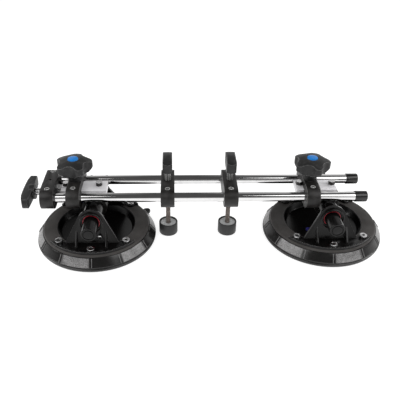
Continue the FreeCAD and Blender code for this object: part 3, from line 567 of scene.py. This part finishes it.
rubbed_rubber = material("rubbed_rubber", rubbed_rubber_recipe)
glossy_rubber = material("glossy_rubber", smooth_rubber_recipe)
mottled_rubber = material("mottled_rubber", mottled_rubber_recipe)
chamber = [(0, 8), (82.5, 8), (93.0, 0.4), (93.8, 0)]
lip = [(99.4, 0), (101.4, 0.4), (103.0, 1.6), (103.8, 3.2), (104, 4.6), (103.9, 6.2), (103.3, 6.9)]
groove = [(102.5, 7.2), (102.4, 7.9), (102.9, 8.8)]
skirt = [(103.0, 10.0), (99.9, 14.4), (96.8, 18.7), (94.1, 22.5), (93.6, 23)]
seat = [(86.1, 23), (86.1, 12), (0, 12)]
foot_radius, foot_height, top_radius, top_height = 103.0, 10.0, 93.77, 23.0
slope = math.atan2(top_height - foot_height, foot_radius - top_radius)
skirt_length = math.hypot(top_height - foot_height, foot_radius - top_radius)
panel_turn, panel_inner, rib_offset, glossy_beside_ribs = 30, 94, 2.3, 2.1
rib_low, rib_high, rib_edge, rib_top = (0, -0.9, -1.0), (skirt_length - 0.6, 0.9, 1.1), 0.35, 0.75
tab_reach, tab_height, tab_tilt = 98.4, 12, -2
for side, tab_heading, mottled_turn in (("left", 33, 0), ("right", 118, 1)):
    middle = centre("cup_plate_" + side)
    pad = lathe("pad_" + side, chamber + lip + groove + skirt + seat, (middle.x, middle.y, 0), steps=240,
                crease=30)

    def panel(at):
        """1 on the mottled panels of the skirt, else 0."""
        out = at.xy - middle.xy / MM
        heading = math.degrees(math.atan2(out.y, out.x))
        from_ribs = abs((heading + panel_turn / 2) % panel_turn - panel_turn / 2)
        on_panel = out.length > panel_inner and at.z > foot_height and from_ribs > glossy_beside_ribs
        return int(on_panel and heading // panel_turn % 2 == mottled_turn)

    by_place(pad, glossy_rubber, mottled_rubber, choose=panel)
    ribs = []
    for turn in range(0, 360, panel_turn):
        for offset in (-rib_offset, rib_offset):
            place = (Matrix.Translation((middle.x, middle.y, 0))
                     @ Matrix.Rotation(math.radians(turn), 4, "Z")
                     @ Matrix.Translation((foot_radius * MM, offset * MM, foot_height * MM))
                     @ Matrix.Rotation(slope - math.pi, 4, "Y") @ Matrix.Rotation(math.pi, 4, "X"))
            rib = bevelled_box("rib", rib_low, rib_high, place, rib_edge, rib_top)
            paint(rib, rubbed_rubber)
            ribs.append(rib)
    tab = lifting_tab(Matrix.Translation((middle.x, middle.y, 0))
                      @ Matrix.Rotation(math.radians(tab_heading), 4, "Z")
                      @ Matrix.Translation((tab_reach * MM, 0, tab_height * MM))
                      @ Matrix.Rotation(math.radians(tab_tilt), 4, "Y"))
    paint(tab, glossy_rubber)
    stands_for(joined([pad, tab] + ribs, "rubber_pad_" + side), "vacuum_pad_" + side, "black_rubber")


# ---------------------------------------------------------------- the A-shaped brackets
# Two glossy moulded brackets a cup, front and back, carry the ends of the handle tube.  Their edges
# are polished and painted a little paler as a highlight, and their flanges' rims are painted pale as
# a highlight.  Socket-head bolts with turned heads hold them down; their sockets are painted dark as
# shade.
# The roundings of the brackets' edges: polished, and painted a little paler as a highlight.
def polished_edge_highlight_recipe(field):
    rub = field.grain(0.003, 3)
    return {"Base Color": rub.tint((0.020, 0.020, 0.020), (0.070, 0.069, 0.068)),
            "Roughness": 0.14 + 0.10 * rub}


# The flanges' rims are painted much paler, in patches: a painted highlight.
def rim_highlight_recipe(field):
    patches = field.grain(0.006, 4)
    return {"Base Color": patches.tint((0.160, 0.155, 0.150), (0.420, 0.410, 0.400)),
            "Roughness": 0.12 + 0.12 * field.grain(0.002, 3)}


# Near black inside the bolts' sockets: painted shade.
def socket_shade_recipe(field):
    return {"Base Color": field.grain(0.0005).tint((0.004, 0.004, 0.004), (0.020, 0.019, 0.018)),
            "Roughness": 0.5}


polished_edge_highlight = material("polished_edge_highlight", polished_edge_highlight_recipe)
rim_highlight = material("rim_highlight", rim_highlight_recipe)
socket_shade = material("socket_shade", socket_shade_recipe)
rim_radius, rim_height = 86.8, 29.6
bolt_circle, bolt_swing, socket_radius, socket_top = 80.3, 44.5, 2.9, 33.5
bolt_turns = [math.radians(facing + swing)
              for facing in (-90, 90) for swing in (-bolt_swing, 0, bolt_swing)]
for side in sides:
    middle = centre("cup_plate_" + side)
    for place in ("front", "rear"):
        node = "bracket_" + place + "_" + side
        bracket = softened(node, 0.6, finish=1)
        # The roundings on the flanges' rims get the painted rim highlight.
        for face in bracket.data.polygons:
            at = face.center / MM
            if face.material_index and (at.xy - middle.xy / MM).length > rim_radius and at.z > rim_height:
                face.material_index = 2
        stands_for(bracket, node, "black_plastic", gloss_moulding, polished_edge_highlight, rim_highlight)
    heads = [middle.xy / MM + Vector((bolt_circle * math.cos(turn), bolt_circle * math.sin(turn)))
             for turn in bolt_turns]
    node = "bracket_bolts_" + side
    bolts = softened(node, 0.3, 2)
    # Faces inside the sockets get the painted shade.
    by_place(bolts, zinc, socket_shade, choose=lambda at: int(
        at.z < socket_top and min((at.xy - head).length for head in heads) < socket_radius))
    stands_for(bolts, node, "bolt_steel")


# ---------------------------------------------------------------- the plungers and what the pump holds
# A glossy thumb plunger pumps each cup, and a red wiper ring shows round it in the barrel's mouth.
# Inside are its seal and spring.  A moulded lever behind the handle lets the air in, and a small
# blue filter stands in the bowl's floor.
def red_recipe(field):
    return {"Base Color": field.grain(0.002, 2).tint((0.36, 0.010, 0.022), (0.48, 0.020, 0.040)),
            "Roughness": 0.26 + 0.08 * field.grain(0.0008, 2)}


def indigo_recipe(field):
    return {"Base Color": field.grain(0.001, 3).tint((0.012, 0.011, 0.085), (0.030, 0.027, 0.200)),
            "Roughness": 0.38, "Specular IOR Level": 0.3}


red = material("red_ring", red_recipe)
indigo = material("indigo_filter", indigo_recipe)
for side in sides:
    dressed("plunger_" + side, 0.6, "black_plastic", gloss_moulding)
    dressed("wiper_ring_" + side, 0.3, "red_rubber", red)
    dressed("intake_filter_" + side, 0.3, "blue_plastic", indigo)
    dressed("release_lever_" + side, 0.6, "black_plastic", moulded)
    paint(frame["nodes"]["piston_seal_" + side], glossy_rubber)
    paint(frame["nodes"]["return_spring_" + side], zinc)


# ---------------------------------------------------------------- the leveling units
# A coated bar carries a threaded screw with a fluted ferrule and a moulded T knob above, and below
# it a rubber foot with a turned steel disc let into its top.  The ferrule's lands are painted pale as
# a highlight and its flutes black as shade.
def screw_steel_recipe(field):
    oil = field.grain(0.004, 3).within(0.3, 0.7)
    return {"Base Color": oil.tint((0.11, 0.090, 0.080), (0.30, 0.265, 0.245)), "Metallic": 1.0,
            "Roughness": 0.30 + 0.12 * oil}


def disc_recipe(field):
    rings = field.grain(0.0008, 3)
    return {"Base Color": rings.tint((0.46, 0.47, 0.47), (0.62, 0.63, 0.63)), "Metallic": 0.4,
            "Roughness": 0.40 + 0.14 * rings}


def foot_rubber_recipe(field):
    dust = field.grain(0.006, 4)
    return {"Base Color": dust.tint((0.010, 0.0105, 0.0105), (0.022, 0.023, 0.023)),
            "Roughness": 0.42 + 0.15 * dust, "Normal": field.grain(0.0007, 2).bumps(0.00005, 0.5)}


screw_steel = material("screw_steel", screw_steel_recipe)
disc_steel = material("disc_steel", disc_recipe)
foot_rubber = material("foot_rubber", foot_rubber_recipe)
button_radius, button_height, shank, screw_radius = 6, 3, 3.5, 4
ferrule_length, ferrule_radius, flutes, flute_depth = 20, 5.25, 12, 0.07
disc_bore, disc_groove = 4.4, 10.0
socket, well_depth, socket_depth = 6.3, 4, 7.6
for side in sides:
    dressed("leveler_bar_" + side, 0.9, "black_metal", powder_coat)
    dressed("leveling_knob_" + side, 1.4, "black_plastic", moulded, steps=4)
    node = "leveling_screw_" + side
    axis = centre(node)
    low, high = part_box(node)
    foot, length = (axis.x, axis.y, low.z), (high.z - low.z) / MM
    ferrule = length - ferrule_length
    button = [(0, 0), (button_radius - 0.4, 0), (button_radius, 0.4),
              (button_radius, button_height - 0.4), (button_radius - 0.4, button_height),
              (shank, button_height)]
    sleeve = [(shank, ferrule), (ferrule_radius - 0.35, ferrule), (ferrule_radius, ferrule + 0.5),
              (ferrule_radius, length - 0.4), (ferrule_radius - 0.35, length), (0, length)]
    body = lathe("body", button + sleeve, foot)
    for corner in body.data.vertices:
        out = corner.co.xy - axis.xy
        if corner.co.z > low.z + ferrule * MM - 1e-6:
            pinch = 1 - flute_depth * max(0.0, math.cos(flutes * math.atan2(out.y, out.x)))
            corner.co.xy = axis.xy + out * pinch

    def flute(at):
        """2 in the ferrule's flutes, 1 on its lands, else 0."""
        out = at.xy - axis.xy / MM
        if at.z * MM < low.z + ferrule * MM:
            return 0
        return 2 if math.cos(flutes * math.atan2(out.y, out.x)) > 0 else 1

    # Painted light on the ferrule: a pale highlight on the lands, dark gloss moulding in the flutes as
    # shade.
    by_place(body, screw_steel, pale_highlight, gloss_moulding, choose=flute)
    thread = threaded("thread", foot, upright, button_height + 0.2, ferrule, screw_radius, fine_pitch, 0.55)
    paint(thread, screw_steel)
    stands_for(joined([body, thread], "leveling_screw_threaded_" + side), node, "chrome")
    node = "pad_disc_" + side
    low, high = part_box(node)
    radius, thick = (high.x - low.x) / 2 / MM, (high.z - low.z) / MM
    disc = lathe("disc_" + side, [(disc_bore, 0), (radius, 0), (radius, thick - 0.3), (radius - 0.3, thick),
                                  (disc_groove + 0.2, thick), (disc_groove, thick - 0.12),
                                  (disc_groove - 0.2, thick), (disc_bore + 0.4, thick),
                                  (disc_bore, thick - 0.3), (disc_bore, 0)], (axis.x, axis.y, low.z))
    stands_for(disc, node, "disc_steel", disc_steel)
    node = "leveling_pad_" + side
    low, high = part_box(node)
    radius, height = (high.x - low.x) / 2 / MM, (high.z - low.z) / MM
    tread = [(0, 0), (radius - 1.2, 0), (radius - 0.4, 0.4), (radius, 1.3)]
    rim = [(radius, height - 0.9), (radius - 0.25, height - 0.25), (radius - 0.9, height),
           (radius - 1.8, height), (radius - 2.25, height - 0.3), (radius - 2.4, height - 0.8)]
    well = [(radius - 2.4, height - well_depth), (socket, height - well_depth),
            (socket, height - socket_depth), (0, height - socket_depth)]
    pad = lathe("foot_" + side, tread + rim + well, (axis.x, axis.y, low.z))
    stands_for(pad, node, "black_rubber", foot_rubber)


# ---------------------------------------------------------------- floor, light and camera
# A plain white floor runs up into a low white backdrop.  Four softboxes light the tool, two over its
# front and one at each end, in a room that metal mirrors darker than it is, apart from the backdrop
# and a light wall behind the tool on either side.
def white_recipe(field):
    return {"Base Color": (0.42, 0.42, 0.42, 1), "Roughness": 0.9, "Emission Color": (1, 1, 1, 1),
            "Emission Strength": 0.80}


floor_shape = bmesh.new()
bmesh.ops.create_grid(floor_shape, x_segments=1, y_segments=1, size=6)
floor = piece_of("studio_floor", floor_shape)
paint(floor, material("pale_floor", white_recipe))

world = bpy.data.worlds.new("studio")
bpy.context.scene.world = world
world.use_nodes = True
world.node_tree.nodes.clear()
sky = Field(world.node_tree)
heading = sky.node("TexCoord", output="Generated")
sideways, backwards, upwards = [sky.node("SeparateXYZ", {0: heading}, output=axis) for axis in range(3)]
wall = backwards.within(0.30, 0.62) * sky.math("ABSOLUTE", sideways).within(0.04, 0.20)
backdrop = 1 - upwards.within(0.10, 0.32)
mirrored = sky.node("LightPath", output="Is Glossy Ray")
shown = sky.node("LightPath", output="Is Camera Ray") + sky.node("LightPath", output="Is Transmission Ray")
white = sky.math("MAXIMUM", shown, mirrored * backdrop)
room, mirrored_room, wall_light = 0.30, 0.085, 0.60
glow = sky.math("MAXIMUM", room - (room - mirrored_room) * mirrored + wall_light * wall, white)
sky.node("OutputWorld", {"Surface": sky.node("Background", {"Color": (1, 1, 1, 1), "Strength": glow})})


def softbox(name, place, aim, width, depth, power):
    lamp = bpy.data.lights.new(name, "AREA")
    lamp.shape, lamp.size, lamp.size_y, lamp.energy = "RECTANGLE", width, depth, power
    box = bpy.data.objects.new(name, lamp)
    box.location = place
    box.rotation_euler = (Vector(aim) - Vector(place)).to_track_quat("-Z", "Y").to_euler()
    bpy.context.scene.collection.objects.link(box)


softbox("left_front_softbox", (-1.08, -0.80, 1.34),
        aim=(-0.25, 0, 0.09), width=1.25, depth=1.05, power=11)
softbox("right_front_softbox", (1.02, -0.80, 1.34),
        aim=(0.25, 0, 0.09), width=1.30, depth=1.05, power=11)
softbox("left_softbox", (-1.5, 0.1, 0.9), aim=(0, 0, 0.05), width=0.7, depth=0.7, power=9)
softbox("right_softbox", (1.5, 0.1, 0.9), aim=(0, 0, 0.05), width=0.7, depth=0.7, power=9)

camera_place = Vector((-0.0533, -0.7782, 0.5763))
pitch, yaw, roll = math.radians(34.37), math.radians(1.115), math.radians(0.28)
sight = Vector((math.sin(yaw) * math.cos(pitch), math.cos(yaw) * math.cos(pitch), -math.sin(pitch)))
lens = bpy.data.cameras.new("studio_camera")
lens.lens, lens.sensor_width, lens.shift_x, lens.shift_y = 48.18, 36, 0.0397, 0.0334
camera = bpy.data.objects.new("studio_camera", lens)
stance = sight.to_track_quat("-Z", "Y") @ Quaternion((0, 0, 1), roll)
camera.matrix_world = Matrix.Translation(camera_place) @ stance.to_matrix().to_4x4()
bpy.context.scene.collection.objects.link(camera)
bpy.context.scene.camera = camera
bpy.context.scene.view_settings.view_transform = "Standard"
